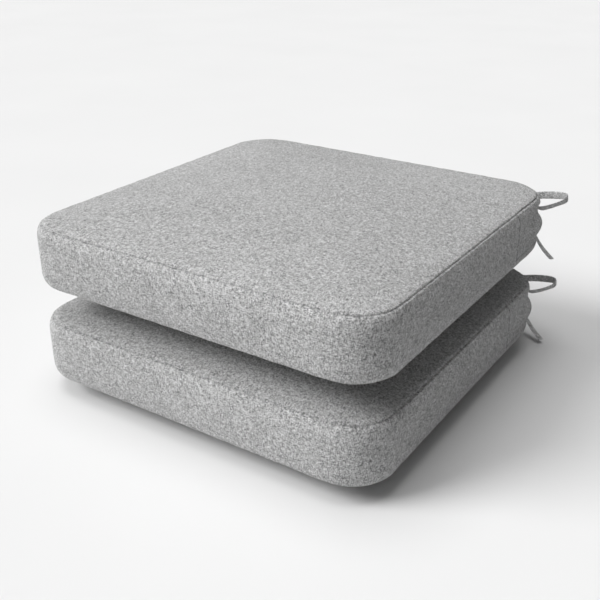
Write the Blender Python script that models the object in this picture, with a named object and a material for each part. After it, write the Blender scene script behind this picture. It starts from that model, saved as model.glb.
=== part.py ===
"""A pair of square box-edge chair seat pads, stacked, with the ties of each pad bowed at its back corners.

Metres, +Z up. The origin is under the middle of the lower pad, on the surface that the pair stands on.
The front of the pads faces -Y, and the zip and the ties are at the back, +Y.
Each pad is a foam core in a liner bag, inside a zipped cover: a top and a bottom panel, a boxing band
round the front and sides, and two zip bands that wrap round the back from one side seam to the other.
"""

import math

import bmesh
import bpy
from mathutils import Vector

# One pad
PAD_WIDTH = 0.457
PAD_DEPTH = 0.457
EDGE_HEIGHT = 0.0754          # boxing height, from the bottom edge plane to the top edge plane
CROWN = 0.0197                # swell of the top and of the bottom face beyond its edge plane
FRONT_CORNER_RADIUS = 0.0526
REAR_CORNER_RADIUS = 0.060
EDGE_ROUNDING = 0.0134        # radius of the turn from the wall to a face
SEAM_ANGLE = 50.0             # where the panel seam lies on that turn, in degrees above the wall
CROWN_START_ANGLE = 78.0      # where the turn hands over to the crowned face, in degrees
CROWN_POWER = 2.4
CROWN_SCALES = (0.85, 0.62, 0.34)   # outlines of the crowned face; inside the last one it is pressed flat

# Thin layers and the clearance between neighbours
FABRIC = 0.0012
TAPE = 0.0006
LINER = 0.0008
SEAT_GAP = 0.0003

# Zip closure across the back
SIDE_SEAM_Y = 0.110           # upright seam on each side, where the zip bands start
LIP_SHARE = 0.3647            # height of the upper zip band's lower lip, as a share of the edge height
BULGE_SHARE = 0.157           # swell of the upper zip band, as a share of the way from its lip to the knots
LIP_PROFILE = ((0.725, 0.25), (0.451, 1.0), (0.216, 0.9), (0.024, 0.3))   # shares of the way up to the knots,
#                               and of that swell, from the top down
TIE_PULL = 0.0006             # how far the ties draw the upper zip band in, at the knots' height
BULGE_FADE = 0.050            # run from a side seam over which that swell grows to full size
ZIP_DROP = 0.0050             # line where the two coils meet, below the lip
ZIP_LENGTH = 0.290
COIL_WIDTH = 0.0026
COIL_DEPTH = 0.0022
ZIP_TAPE_WIDTH = 0.0135       # upper tape; the lower one is trimmed where the wall turns under
ZIP_WINDOW_MARGIN = 0.008     # bare tape past each end stop, before the lower band closes up
STOP_LENGTH = 0.003
SLIDER_LENGTH = 0.010
SLIDER_PLATE = 0.0014
SLIDER_WALL = 0.0011
PULL_LENGTH = 0.022
PULL_WIDTH = 0.0045
PULL_THICKNESS = 0.0011
PULL_STANDOFF = 0.0024        # from the slider's plate to the pull's hinge axis
LUG_WIDTH = 0.0012

# Liner slit and care label
SLIT_LENGTH = 0.300
SLIT_HEIGHT = 0.0012
LABEL_WIDTH = 0.030
LABEL_HEIGHT = 0.040
LABEL_THICKNESS = 0.0003
LABEL_Y = 0.040

# Ties
TIE_WIDTH = 0.010
TIE_THICKNESS = 0.0012
KNOT_ANGLE = 78.0             # place of the knot round the back corner, in degrees from +X
KNOT_DROP = 0.0224            # middle of the knot below the top edge plane
KNOT_SHARES = (0.70, 0.42, 0.65)    # half length, depth and height of the knot, as shares of the tie's width
LEFT_DROOP = 0.0035           # sag of the left outer loops, per squared unit of distance from the knot
TIE_STEP = 0.005              # spacing of the stations along a tie

# Routes of the right-hand ties, in tenths of the tie's width: x, y and z from the middle of the knot.
# The tails start half a width to its side and half a width below it, so theirs are counted from there.
OUTER_LOOP = (
    (7.8, 1.3, 2.0), (17.2, 5.0, 1.5), (29.2, 8.5, 3.5), (42.2, 9.5, 5.5), (54.2, 7.5, 7.5),
    (61.7, 1.5, 8.5), (61.2, -5.5, 6.0), (53.2, -10.5, 1.5), (42.2, -12.5, -4.0), (31.7, -10.5, -8.0),
    (20.2, -5.0, -5.0), (7.1, -2.4, 0.2),
)
INNER_LOOP = (
    (-7.0, 3.3, 1.0), (-15.8, 7.5, 3.0), (-27.8, 10.5, 3.0), (-39.8, 10.0, 0.0), (-46.3, 6.8, -3.5),
    (-41.8, 3.9, -4.5), (-31.8, 3.3, -5.0), (-19.8, 3.1, -3.5), (-7.5, 0.9, -1.2),
)
OUTER_TAIL = (
    (0.0, -1.2, -2.1), (0.8, 1.8, -8.5), (4.2, 3.0, -17.0), (11.2, 2.0, -28.0), (19.7, -1.5, -39.0),
    (27.7, -6.0, -47.0), (36.2, -11.2, -53.5), (45.2, -16.3, -58.5), (53.7, -20.8, -62.6),
)
INNER_TAIL = (
    (-0.4, 0.8, -2.1), (-0.3, 4.5, -9.0), (-0.8, 6.0, -18.0), (-2.3, 7.5, -30.0), (-3.8, 9.0, -42.0),
    (-4.5, 10.0, -54.0), (-4.8, 10.5, -64.5),
)

CORNER_STEPS = 6
PAD_HEIGHT = EDGE_HEIGHT + 2 * CROWN
LINER_INSET = FABRIC + SEAT_GAP + TAPE + SEAT_GAP
FOAM_INSET = LINER_INSET + LINER + SEAT_GAP
SEAM_HALF_GAP = math.degrees(SEAT_GAP / EDGE_ROUNDING) / 2
REAR_WALL = PAD_DEPTH / 2
KNOT_HEIGHT = EDGE_HEIGHT - KNOT_DROP
KNOT_HALF_SIZE = [share * TIE_WIDTH for share in KNOT_SHARES]
ROUTE_UNIT = TIE_WIDTH / 10
LIP_HEIGHT = LIP_SHARE * EDGE_HEIGHT
LIP_BULGE = BULGE_SHARE * (KNOT_HEIGHT - LIP_HEIGHT)
ZIP_HEIGHT = LIP_HEIGHT - ZIP_DROP

COLOURS = {
    "cover_fabric": ((0.40, 0.40, 0.40), 0.95, 0.0),
    "tie_fabric": ((0.40, 0.40, 0.40), 0.95, 0.0),
    "foam": ((0.86, 0.82, 0.68), 1.0, 0.0),
    "liner_fabric": ((0.82, 0.82, 0.80), 0.95, 0.0),
    "zip_tape": ((0.30, 0.30, 0.30), 0.9, 0.0),
    "zip_coil": ((0.26, 0.26, 0.26), 0.5, 0.0),
    "zip_metal": ((0.62, 0.62, 0.60), 0.3, 1.0),
    "label": ((0.85, 0.85, 0.83), 0.8, 0.0),
}


def clear_scene():
    """Remove whatever the file holds, so that only the pads are in it."""
    for item in list(bpy.data.objects):
        bpy.data.objects.remove(item, do_unlink=True)


def make_collection(name):
    """Link a new collection into the scene."""
    collection = bpy.data.collections.new(name)
    bpy.context.scene.collection.children.link(collection)
    return collection


def make_material(name):
    """A Principled material from the colour table."""
    colour, roughness, metallic = COLOURS[name]
    material = bpy.data.materials.new(name)
    material.use_nodes = True
    shader = material.node_tree.nodes["Principled BSDF"]
    shader.inputs["Base Color"].default_value = (*colour, 1.0)
    shader.inputs["Roughness"].default_value = roughness
    shader.inputs["Metallic"].default_value = metallic
    material.diffuse_color = (*colour, 1.0)
    return material


def add_object(name, mesh_builder, material, height, smooth=False):
    """Turn a bmesh into an object whose origin is raised to the given height."""
    mesh = bpy.data.meshes.new(name)
    bmesh.ops.recalc_face_normals(mesh_builder, faces=mesh_builder.faces)
    mesh_builder.to_mesh(mesh)
    mesh_builder.free()
    mesh.materials.append(material)
    if smooth:
        mesh.shade_smooth()
    part = bpy.data.objects.new(name, mesh)
    part.location.z = height
    PARTS.objects.link(part)
    return part


# ---------------------------------------------------------------------------------------------- outlines

def corner(sign_x, sign_y, first_degrees):
    """Stations round one plan corner: a point of the outer wall line and its outward direction."""
    radius = REAR_CORNER_RADIUS if sign_y > 0 else FRONT_CORNER_RADIUS
    centre = Vector((sign_x * (PAD_WIDTH / 2 - radius), sign_y * (PAD_DEPTH / 2 - radius)))
    stations = []
    for step in range(CORNER_STEPS + 1):
        angle = math.radians(first_degrees + 90.0 * step / CORNER_STEPS)
        outward = Vector((math.cos(angle), math.sin(angle)))
        stations.append((centre + radius * outward, outward))
    return stations


def side(sign_x, positions):
    """Stations along the right (+1) or left (-1) wall."""
    return [(Vector((sign_x * PAD_WIDTH / 2, y)), Vector((sign_x, 0.0))) for y in positions]


def end_wall(sign_y, positions):
    """Stations along the back (+1) or front (-1) wall."""
    return [(Vector((x, sign_y * PAD_DEPTH / 2)), Vector((0.0, sign_y))) for x in positions]


def whole_outline():
    """Stations of the closed outline, counter-clockwise from the middle of the right wall."""
    middle = [0.0]
    stations = side(1, middle) + corner(1, 1, 0) + end_wall(1, middle) + corner(-1, 1, 90)
    stations += side(-1, middle) + corner(-1, -1, 180) + end_wall(-1, middle) + corner(1, -1, 270)
    return stations


def boxing_path():
    """Stations of the band round the front, from the left side seam to the right one."""
    seam = SIDE_SEAM_Y - SEAT_GAP / 2
    stations = side(-1, [seam, 0.0]) + corner(-1, -1, 180) + end_wall(-1, [0.0])
    return stations + corner(1, -1, 270) + side(1, [0.0, seam])


def zip_band_path():
    """Stations of the bands round the back, from the right side seam to the left one."""
    seam = SIDE_SEAM_Y + SEAT_GAP / 2
    grows = [seam + BULGE_FADE * share for share in (0.0, 0.35, 0.7)]
    window = ZIP_LENGTH / 2 + STOP_LENGTH + ZIP_WINDOW_MARGIN
    closes = window + ZIP_WINDOW_MARGIN / 2
    across = [closes, window, window / 3, -window / 3, -window, -closes]
    stations = side(1, grows) + corner(1, 1, 0) + end_wall(1, across)
    return stations + corner(-1, 1, 90) + side(-1, grows[::-1])


# ------------------------------------------------------------------------------------ the pad's section

def turn_point(degrees, depth):
    """Inset and height above mid-height on the rounded edge, for a layer that lies depth inside the cover."""
    angle = math.radians(abs(degrees))
    inset = EDGE_ROUNDING - (EDGE_ROUNDING - depth) * math.cos(angle)
    height = EDGE_HEIGHT / 2 - EDGE_ROUNDING + (EDGE_ROUNDING - depth) * math.sin(angle)
    return inset, math.copysign(height, degrees)


def turn_ring(degrees, depth):
    """Closed ring of points on the rounded edge."""
    inset, height = turn_point(degrees, depth)
    return [Vector((*(point - inset * outward), height)) for point, outward in whole_outline()]


def crown_ring(scale, depth, facing):
    """Closed ring on the crowned top (+1) or bottom (-1) face: the edge ring, drawn in and raised."""
    edge = turn_ring(CROWN_START_ANGLE * facing, depth)
    outer_edge_height = turn_point(CROWN_START_ANGLE, 0.0)[1]
    full_rise = EDGE_HEIGHT / 2 + CROWN - outer_edge_height
    share = (1 - scale ** CROWN_POWER) / (1 - CROWN_SCALES[-1] ** CROWN_POWER)
    return [Vector((p.x * scale, p.y * scale, p.z + facing * full_rise * share)) for p in edge]


def face_rings(depth, facing, first_degrees):
    """Rings from the rounded edge to the flat middle of a face."""
    rings = [turn_ring(facing * first_degrees, depth), turn_ring(facing * CROWN_START_ANGLE, depth)]
    return rings + [crown_ring(scale, depth, facing) for scale in CROWN_SCALES]


def body_rings(depth):
    """Rings of a whole pad-shaped body, from the middle of its bottom to the middle of its top."""
    bottom = face_rings(depth, -1, SEAM_ANGLE)[::-1]
    walls = [turn_ring(-1e-9, depth), turn_ring(1e-9, depth)]
    return bottom + walls + face_rings(depth, 1, SEAM_ANGLE)


def loft(rings):
    """Closed solid through rings of equal length, capped flat at its first and last ring."""
    builder = bmesh.new()
    rows = [[builder.verts.new(point) for point in ring] for ring in rings]
    count = len(rows[0])
    for row, following in zip(rows, rows[1:]):
        for i in range(count):
            j = (i + 1) % count
            builder.faces.new((row[i], row[j], following[j], following[i]))
    builder.faces.new(rows[0][::-1])
    builder.faces.new(rows[-1])
    return builder


def sweep(path, section_at):
    """Closed solid: a section of (outward, height) pairs carried along plan stations."""
    sections = []
    for point, outward in path:
        section = section_at(point)
        sections.append([Vector((*(point + away * outward), height)) for away, height in section])
    return loft(sections)


# ------------------------------------------------------------------------------------------ cover pieces

def panel(name, facing, material, height):
    """Top or bottom panel: the crowned face and its turn down to the seam, one fabric thick."""
    first = SEAM_ANGLE + SEAM_HALF_GAP
    outside = face_rings(0.0, facing, first)[::-1]
    inside = face_rings(FABRIC, facing, first)
    return add_object(name, loft(outside + inside), material, height)


def wall_side(depth, first_degrees, last_degrees):
    """Points of a wall layer between two places on the rounded edges, as (outward, height)."""
    bends = (first_degrees, first_degrees / 2, -1e-9, 1e-9, last_degrees / 2, last_degrees)
    points = [turn_point(degrees, depth) for degrees in bends]
    return [(-inset, height) for inset, height in points]


def boxing_section(_point):
    """Section of the front boxing band, from seam to seam."""
    seam = SEAM_ANGLE - SEAM_HALF_GAP
    return wall_side(0.0, -seam, seam) + wall_side(FABRIC, -seam, seam)[::-1]


def edge_plane_height(height):
    """Height above the bottom edge plane, as height above the pad's middle."""
    return height - EDGE_HEIGHT / 2


def swell(point):
    """Share of the full bulge at a plan point: nothing at the side seams, growing towards the back."""
    run = min(1.0, max(0.0, (point.y - SIDE_SEAM_Y) / BULGE_FADE))
    return run * run * (3 - 2 * run)


def upper_band_section(point):
    """Section of the upper zip band: drawn in at the ties, swollen above its folded lip."""
    seam = SEAM_ANGLE - SEAM_HALF_GAP
    share = swell(point)
    lip = LIP_HEIGHT
    outer = [(-turn_point(seam, 0.0)[0], turn_point(seam, 0.0)[1])]
    outer.append((-turn_point(seam / 2, 0.0)[0], turn_point(seam / 2, 0.0)[1]))
    rows = [(-TIE_PULL * share, KNOT_HEIGHT)]
    rows += [(LIP_BULGE * part * share, lip + up * (KNOT_HEIGHT - lip)) for up, part in LIP_PROFILE]
    outer += [(away, edge_plane_height(above)) for away, above in rows]
    foot = edge_plane_height(lip)
    inner = [(0.0, foot), (-FABRIC, foot)]
    inner += wall_side(FABRIC, -seam, seam)[3:]
    return outer + inner


def lower_band_section(point):
    """Section of the lower zip band: low along the zip, and up to the lip past its ends."""
    seam = SEAM_ANGLE - SEAM_HALF_GAP
    window = ZIP_LENGTH / 2 + STOP_LENGTH + ZIP_WINDOW_MARGIN
    beside_coil = ZIP_HEIGHT - SEAT_GAP / 2 - COIL_WIDTH - SEAT_GAP * 3
    at_zip = abs(point.x) < window + SEAT_GAP and point.y > REAR_WALL - SEAT_GAP
    top = edge_plane_height(beside_coil if at_zip else LIP_HEIGHT - SEAT_GAP)
    outer = wall_side(0.0, -seam, seam)[:3] + [(0.0, top)]
    inner = [(-FABRIC, top)] + wall_side(FABRIC, -seam, seam)[:3][::-1]
    return outer + inner


# -------------------------------------------------------------------------------------------- zip pieces

def box(centre, size):
    """Closed box."""
    builder = bmesh.new()
    bmesh.ops.create_cube(builder, size=1.0)
    bmesh.ops.scale(builder, vec=Vector(size), verts=builder.verts)
    bmesh.ops.translate(builder, vec=Vector(centre), verts=builder.verts)
    return builder


def bevelled_box(centre, size, width):
    """Closed box with its edges bevelled."""
    builder = box(centre, size)
    bmesh.ops.bevel(
        builder, geom=builder.edges[:], offset=width, offset_type="OFFSET", segments=1,
        profile=0.5, affect="EDGES", material=-1,
    )
    return builder


def zip_pieces(pad, height, materials):
    """Tapes, coils and end stops of one pad's zip."""
    tape_y = REAR_WALL - FABRIC - SEAT_GAP - TAPE / 2
    coil_y = REAR_WALL - FABRIC + COIL_DEPTH / 2
    tape_length = ZIP_LENGTH + 2 * (STOP_LENGTH + ZIP_WINDOW_MARGIN) + 2 * ZIP_WINDOW_MARGIN
    zip_line = edge_plane_height(ZIP_HEIGHT)
    to_turn = ZIP_HEIGHT - EDGE_ROUNDING - SEAT_GAP * 3 / 2
    for name, way, tape_width in (("upper", 1, ZIP_TAPE_WIDTH), ("lower", -1, to_turn)):
        tape_z = zip_line + way * (SEAT_GAP / 2 + tape_width / 2)
        coil_z = zip_line + way * (SEAT_GAP / 2 + COIL_WIDTH / 2)
        tape = box((0.0, tape_y, tape_z), (tape_length, TAPE, tape_width))
        add_object(f"{pad}_zip_tape_{name}", tape, materials["zip_tape"], height)
        coil = bevelled_box((0.0, coil_y, coil_z), (ZIP_LENGTH, COIL_DEPTH, COIL_WIDTH), COIL_WIDTH / 5)
        add_object(f"{pad}_zip_coil_{name}", coil, materials["zip_coil"], height)
    stop_size = (STOP_LENGTH - SEAT_GAP, COIL_DEPTH, 2 * COIL_WIDTH)
    for name, way in (("closed", -1), ("open", 1)):
        stop_x = way * (ZIP_LENGTH / 2 + SEAT_GAP + stop_size[0] / 2)
        stop = bevelled_box((stop_x, coil_y, zip_line), stop_size, COIL_WIDTH / 8)
        add_object(f"{pad}_zip_stop_{name}", stop, materials["zip_metal"], height)


def slider_rest_x():
    """Middle of the slider when the zip is closed: against the stop at the left end."""
    return -ZIP_LENGTH / 2 + SLIDER_LENGTH / 2 + SEAT_GAP


def coil_face_y():
    """Outer face of the coils."""
    return REAR_WALL - FABRIC + COIL_DEPTH


def pull_axis_y():
    """Distance of the pull's hinge axis from the middle of the pad."""
    return coil_face_y() + SEAT_GAP + SLIDER_PLATE + PULL_STANDOFF


def zip_slider(pad, height, material):
    """Slider: a plate over the coils, a flange above and below them, and a lug that holds the pull."""
    plate_y = coil_face_y() + SEAT_GAP + SLIDER_PLATE / 2
    half_height = SEAT_GAP / 2 + COIL_WIDTH + SEAT_GAP + SLIDER_WALL
    flange_depth = COIL_DEPTH / 2
    centre_x = slider_rest_x()
    zip_line = edge_plane_height(ZIP_HEIGHT)
    plate = box((centre_x, plate_y, zip_line), (SLIDER_LENGTH, SLIDER_PLATE, 2 * half_height))
    slider = add_object(f"{pad}_zip_slider", plate, material, height)
    flange_y = coil_face_y() + SEAT_GAP - flange_depth / 2 + SLIDER_PLATE / 4
    flange_size = (SLIDER_LENGTH, flange_depth + SLIDER_PLATE / 2, SLIDER_WALL)
    pieces = []
    for way in (-1, 1):
        flange_z = zip_line + way * (half_height - SLIDER_WALL / 2)
        pieces.append(box((centre_x, flange_y, flange_z), flange_size))
        lug_z = zip_line + way * (PULL_WIDTH / 2 + SEAT_GAP + LUG_WIDTH / 2)
        lug_depth = PULL_STANDOFF + PULL_THICKNESS / 2 + SLIDER_PLATE / 2
        lug_y = plate_y + lug_depth / 2
        pieces.append(box((centre_x, lug_y, lug_z), (3 * PULL_THICKNESS, lug_depth, LUG_WIDTH)))
    for index, piece in enumerate(pieces):
        join_by_boolean(slider, add_cutter(f"{pad}_slider_piece_{index}", piece, height), "UNION")
    return slider


def zip_pull(pad, height, material):
    """Pull tab: lies along the coils, hinged between the slider's lugs; its origin is on that hinge."""
    builder = bevelled_box(
        (-PULL_LENGTH / 2 + PULL_THICKNESS, 0.0, 0.0),
        (PULL_LENGTH, PULL_THICKNESS, PULL_WIDTH),
        PULL_THICKNESS / 4,
    )
    pull = add_object(f"{pad}_zip_pull", builder, material, 0.0)
    pull.location = (slider_rest_x(), pull_axis_y(), height + edge_plane_height(ZIP_HEIGHT))
    return pull


# ------------------------------------------------------------------------------------------ inner pieces

def add_cutter(name, builder, height):
    """Helper object for a Boolean: not rendered, drawn as wire, in its own collection."""
    cutter = add_object(name, builder, MATERIALS["foam"], height)
    PARTS.objects.unlink(cutter)
    CUTTERS.objects.link(cutter)
    cutter.hide_render = True
    cutter.display_type = "WIRE"
    return cutter


def join_by_boolean(target, tool, operation):
    """Add an exact Boolean modifier."""
    modifier = target.modifiers.new(operation.lower(), "BOOLEAN")
    modifier.operation = operation
    modifier.object = tool
    modifier.solver = "EXACT"


def foam_liner(pad, height, material):
    """Liner bag round the foam, with the slit at its back that the foam goes in through."""
    liner = add_object(f"{pad}_foam_liner", loft(body_rings(LINER_INSET)), material, height)
    hollow = add_cutter(f"{pad}_liner_hollow", loft(body_rings(LINER_INSET + LINER)), height)
    slit_y = REAR_WALL - LINER_INSET - LINER / 2
    slit_box = box((0.0, slit_y, 0.0), (SLIT_LENGTH, 4 * LINER, SLIT_HEIGHT))
    slit = add_cutter(f"{pad}_liner_slit", slit_box, height)
    join_by_boolean(liner, hollow, "DIFFERENCE")
    join_by_boolean(liner, slit, "DIFFERENCE")
    return liner


def care_label(pad, height, material):
    """Blank care label, flat against the inside of the left boxing."""
    label_x = -PAD_WIDTH / 2 + FABRIC + SEAT_GAP + LABEL_THICKNESS / 2
    label_height = min(LABEL_HEIGHT, EDGE_HEIGHT - 2 * EDGE_ROUNDING)
    label = box((label_x, LABEL_Y, 0.0), (LABEL_THICKNESS, LABEL_WIDTH, label_height))
    return add_object(f"{pad}_care_label", label, material, height)


# -------------------------------------------------------------------------------------------------- ties

def smooth_route(route):
    """Evenly spaced points on a smooth curve through the route's own points (centripetal Catmull-Rom)."""
    points = [2 * route[0] - route[1]] + route + [2 * route[-1] - route[-2]]
    dense = []
    for a, b, c, d in zip(points, points[1:], points[2:], points[3:]):
        knots = [0.0]
        for first, second in ((a, b), (b, c), (c, d)):
            knots.append(knots[-1] + math.sqrt((second - first).length))
        for step in range(12):
            t = knots[1] + (knots[2] - knots[1]) * step / 12
            dense.append(blend_four((a, b, c, d), knots, t))
    dense.append(points[-2])
    return even_points(dense, TIE_STEP)


def blend_four(points, knots, t):
    """Point of the Catmull-Rom span between the second and third of four points."""
    level = list(points)
    for width in (1, 2, 3):
        level = [
            mix_between(level[i], level[i + 1], *span_ends(knots, i, width), t)
            for i in range(len(level) - 1)
        ]
    return level[0]


def span_ends(knots, index, width):
    """Knots between which a level of the Catmull-Rom pyramid blends."""
    if width == 3:
        return knots[1], knots[2]
    return knots[index], knots[index + width]


def mix_between(first, second, start, end, t):
    """Blend two points by where t lies from start to end."""
    return ((end - t) * first + (t - start) * second) / (end - start)


def even_points(points, step):
    """Points at an even spacing along a polyline."""
    lengths = [0.0]
    for first, second in zip(points, points[1:]):
        lengths.append(lengths[-1] + (second - first).length)
    count = max(2, round(lengths[-1] / step))
    result = []
    index = 0
    for number in range(count + 1):
        target = lengths[-1] * number / count
        while index < len(lengths) - 2 and lengths[index + 1] < target:
            index += 1
        share = (target - lengths[index]) / (lengths[index + 1] - lengths[index])
        result.append(points[index].lerp(points[index + 1], share))
    return result


def tape_strip(points, width_hints):
    """Closed flat strip along points: at each one the width lies as near to its hint as the bend allows."""
    sections = []
    last = len(points) - 1
    for index, point in enumerate(points):
        along = (points[min(index + 1, last)] - points[max(index - 1, 0)]).normalized()
        hint = width_hints(index / last)
        across = (hint - hint.dot(along) * along).normalized() * TIE_WIDTH / 2
        out = along.cross(across).normalized() * TIE_THICKNESS / 2
        section = [point + across + out, point - across + out, point - across - out, point + across - out]
        sections.append(section)
    return loft(sections)


def loop_hint(_share):
    """A bow's loop stands on its edge, so the width of its tape is upright."""
    return Vector((0.0, 0.0, 1.0))


def outer_tail_hint(share):
    """The outer tail leaves the knot flat and turns its edge forwards as it hangs."""
    return Vector((1.0, -0.2, 0.0)).lerp(Vector((-0.25, 0.95, 0.1)), min(1.0, share * 2.5))


def inner_tail_hint(_share):
    """The inner tail hangs flat along the back."""
    return Vector((1.0, 0.0, 0.0))


def place_route(route, side_sign, beside, droop):
    """Route for the right (+1) or left (-1) corner, in metres and in plan from the pad's middle.

    It is counted from beside the knot for a tail, and it sags more the further it is from the knot.
    """
    knot = knot_centre()
    placed = []
    for x, y, z in route:
        sag = droop * (x ** 2 + y ** 2)
        drop = abs(beside)
        moved = ROUTE_UNIT * Vector((x, y, z - sag))
        place = moved + Vector((knot.x + beside, knot.y, KNOT_HEIGHT - drop))
        placed.append(Vector((side_sign * place.x, place.y, edge_plane_height(place.z))))
    return placed


def knot_centre():
    """Middle of the right-hand knot in plan."""
    angle = math.radians(KNOT_ANGLE)
    centre = Vector((PAD_WIDTH / 2 - REAR_CORNER_RADIUS, PAD_DEPTH / 2 - REAR_CORNER_RADIUS, 0.0))
    reach = REAR_CORNER_RADIUS + KNOT_HALF_SIZE[1] + SEAT_GAP - TIE_PULL
    return centre + reach * Vector((math.cos(angle), math.sin(angle), 0.0))


def tie_knot(name, side_sign, material, height):
    """Knot of one bow: a rounded lump against the upper zip band."""
    builder = bmesh.new()
    bmesh.ops.create_uvsphere(builder, u_segments=12, v_segments=8, radius=1.0)
    bmesh.ops.scale(builder, vec=KNOT_HALF_SIZE, verts=builder.verts)
    knot = add_object(name, builder, material, 0.0, smooth=True)
    centre = knot_centre()
    knot.location = (side_sign * centre.x, centre.y, height + edge_plane_height(KNOT_HEIGHT))
    knot.rotation_euler.z = side_sign * math.radians(KNOT_ANGLE - 90.0)
    return knot


def tie(pad, corner_name, side_sign, droop, material, height):
    """One tie, bowed: its knot, two loops and two tails."""
    prefix = f"{pad}_{corner_name}_tie"
    tie_knot(f"{prefix}_knot", side_sign, material, height)
    half = TIE_WIDTH / 2
    strands = (
        ("outer_loop", OUTER_LOOP, loop_hint, 0.0, droop),
        ("inner_loop", INNER_LOOP, loop_hint, 0.0, 0.0),
        ("outer_tail", OUTER_TAIL, outer_tail_hint, half, 0.0),
        ("inner_tail", INNER_TAIL, inner_tail_hint, -half, 0.0),
    )
    for strand, route, hint, beside, sag in strands:
        points = smooth_route(place_route(route, side_sign, beside, sag))
        strip = tape_strip(points, mirrored_hint(hint, side_sign))
        add_object(f"{prefix}_{strand}", strip, material, height)


def mirrored_hint(hint, side_sign):
    """Width directions of a strand on the given side of the pad."""
    def turned(share):
        direction = hint(share)
        return Vector((side_sign * direction.x, direction.y, direction.z))
    return turned


# --------------------------------------------------------------------------------------------- the pads

def seat_pad(pad, base_height):
    """Every piece of one pad, whose lowest face is at base_height."""
    middle = base_height + PAD_HEIGHT / 2
    fabric = MATERIALS["cover_fabric"]
    add_object(f"{pad}_foam_core", loft(body_rings(FOAM_INSET)), MATERIALS["foam"], middle)
    foam_liner(pad, middle, MATERIALS["liner_fabric"])
    panel(f"{pad}_top_panel", 1, fabric, middle)
    panel(f"{pad}_bottom_panel", -1, fabric, middle)
    add_object(f"{pad}_boxing_band", sweep(boxing_path(), boxing_section), fabric, middle)
    add_object(f"{pad}_zip_band_upper", sweep(zip_band_path(), upper_band_section), fabric, middle)
    add_object(f"{pad}_zip_band_lower", sweep(zip_band_path(), lower_band_section), fabric, middle)
    zip_pieces(pad, middle, MATERIALS)
    zip_slider(pad, middle, MATERIALS["zip_metal"])
    zip_pull(pad, middle, MATERIALS["zip_metal"])
    care_label(pad, middle, MATERIALS["label"])
    tie(pad, "right", 1, 0.0, MATERIALS["tie_fabric"], middle)
    tie(pad, "left", -1, LEFT_DROOP, MATERIALS["tie_fabric"], middle)


clear_scene()
PARTS = make_collection("chair_seat_pads")
CUTTERS = make_collection("cutters")
MATERIALS = {name: make_material(name) for name in COLOURS}
seat_pad("lower", 0.0)
seat_pad("upper", PAD_HEIGHT + SEAT_GAP)
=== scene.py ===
# %% [markdown]
# # Two box-edge chair seat pads
# This lesson builds the looks of a stacked pair of chair seat pads round a fixed frame.
# Each pad is a foam block in a zipped cover of heathered grey linen-look cloth, with a tie at each back corner.
# The frame gives every size and every moving body. The script only adds cloth, thread, teeth and finishes, so we load
# the frame first.

import math

import bmesh
import bpy
import numpy as np
from mathutils import Matrix, Vector
from mathutils.bvhtree import BVHTree


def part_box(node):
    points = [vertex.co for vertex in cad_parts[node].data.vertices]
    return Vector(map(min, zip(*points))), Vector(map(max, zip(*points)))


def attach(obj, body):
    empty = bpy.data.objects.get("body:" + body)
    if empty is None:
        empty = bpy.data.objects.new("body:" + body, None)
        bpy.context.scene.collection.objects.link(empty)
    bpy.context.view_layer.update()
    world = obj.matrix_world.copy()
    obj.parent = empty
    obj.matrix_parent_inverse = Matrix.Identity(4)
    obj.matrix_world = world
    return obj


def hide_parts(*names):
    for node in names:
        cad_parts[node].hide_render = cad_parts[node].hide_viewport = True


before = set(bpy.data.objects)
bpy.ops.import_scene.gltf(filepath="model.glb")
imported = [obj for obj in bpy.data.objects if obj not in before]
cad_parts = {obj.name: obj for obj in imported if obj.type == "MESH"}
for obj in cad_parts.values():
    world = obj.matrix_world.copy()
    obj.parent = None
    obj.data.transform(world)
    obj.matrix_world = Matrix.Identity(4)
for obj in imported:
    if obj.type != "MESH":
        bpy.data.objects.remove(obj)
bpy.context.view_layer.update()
MM = 0.001

# %% [markdown]
# ## Sizes
# Every place comes from the boxes of the frame's nodes, so a pad in this script is where the frame says it is.
# Only what a box can't tell, such as a radius, is a number here. All sizes are in metres.

# %% Sizes of one pad
PADS = ("lower", "upper")
CORNER_RADIUS = {-1: 0.0526, 1: 0.060}      # front and rear plan corners
EDGE_ROUNDING = 0.0134                      # turn from a wall to a face
SEAM_ANGLE = 50.0                           # place of the panel seam on that turn, in degrees above the wall
CROWN = 0.0197                              # swell of a face beyond its edge plane
CROWN_POWER = 2.4
REST_SCALE = 0.34                           # share of a face that is pressed flat where it rests
LIP_HEIGHT = 0.0275                         # lower lip of the upper zip band, above the bottom edge plane
ZIP_HEIGHT = 0.0225
FABRIC = 0.0012
SIDE_SEAM_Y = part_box("lower_boxing_band")[1].y
HALF_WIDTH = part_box("lower_boxing_band")[1].x
HALF_DEPTH = -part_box("lower_boxing_band")[0].y
BASE = {pad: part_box(f"{pad}_bottom_panel")[0].z for pad in PADS}
TOP = {pad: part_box(f"{pad}_top_panel")[1].z for pad in PADS}
PAD_HEIGHT = TOP["lower"] - BASE["lower"]
EDGE_HEIGHT = PAD_HEIGHT - 2 * CROWN
SEAM_DROP = EDGE_ROUNDING * (1 - math.sin(math.radians(SEAM_ANGLE)))
print("pad", round(2 * HALF_WIDTH, 4), "wide,", round(EDGE_HEIGHT, 4), "at its edge, seams", round(SEAM_DROP, 4), "in")

# %% [markdown]
# ## The camera
# The camera stands to the front and right of the pads and looks down on them at about 26 degrees, as a person
# does who walks up to a chair. It is made first, because the ties have to lie well in its view.

# %% Camera
def aim(item, place, target):
    """Put a camera or a light somewhere and turn it to a target."""
    item.location = place
    item.rotation_mode = "QUATERNION"
    item.rotation_quaternion = (Vector(target) - Vector(place)).to_track_quat("-Z", "Y")


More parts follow.
